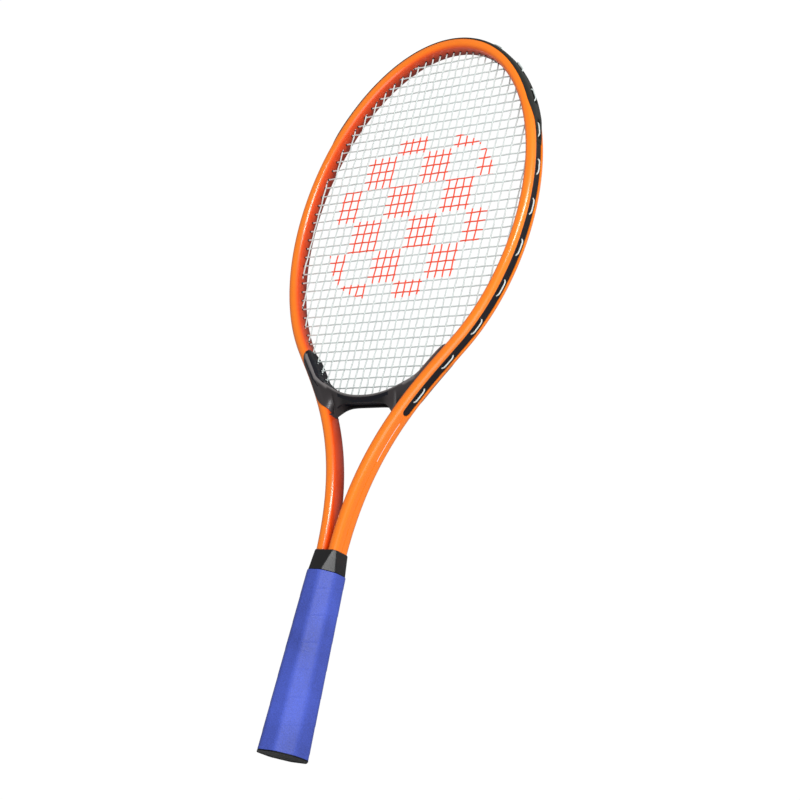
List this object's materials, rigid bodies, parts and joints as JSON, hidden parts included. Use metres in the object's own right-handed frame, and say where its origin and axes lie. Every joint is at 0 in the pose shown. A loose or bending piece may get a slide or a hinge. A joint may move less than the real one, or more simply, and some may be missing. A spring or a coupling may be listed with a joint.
{
  "type": "tennis training racket",
  "caption": "Full-length training racket: bent tube frame with an oval strung head, moulded throat bridge, head guard, and a tapered octagonal wrapped grip.",
  "frame": {"origin": "centre of the butt cap's end face, on the handle's axis", "axes": "+Y along the handle from the butt to the head, +X across the head, +Z square to the string bed; the racket lies flat"},
  "size_m": [0.2704, 0.685, 0.0432],
  "materials": {
    "orange_paint": "gloss paint on aluminium",
    "charcoal_plastic": "satin",
    "black_plastic": "satin",
    "string": "gloss",
    "black_rubber": "matt",
    "blue_wrap": "matt",
    "butt_plastic": "satin",
    "pallet_plastic": "matt",
    "steel": "plain"
  },
  "bodies": {
    "root": {"frame_tube": "orange_paint", "throat_bridge": "charcoal_plastic", "bumper_guard": "black_plastic", "grommet_strip_left": "black_plastic", "grommet_strip_right": "black_plastic", "bridge_grommet_strip": "black_plastic", "main_string": "string", "cross_string": "string", "collar": "black_rubber", "grip_wrap": "blue_wrap", "butt_cap": "butt_plastic", "pallet_front": "pallet_plastic", "pallet_back": "pallet_plastic", "pallet_screw_left": "steel", "pallet_screw_right": "steel", "butt_cap_staple_front": "steel", "butt_cap_staple_back": "steel", "grip_tack": "steel", "bridge_pin_left": "steel", "bridge_pin_right": "steel"}
  },
  "joints": []
}
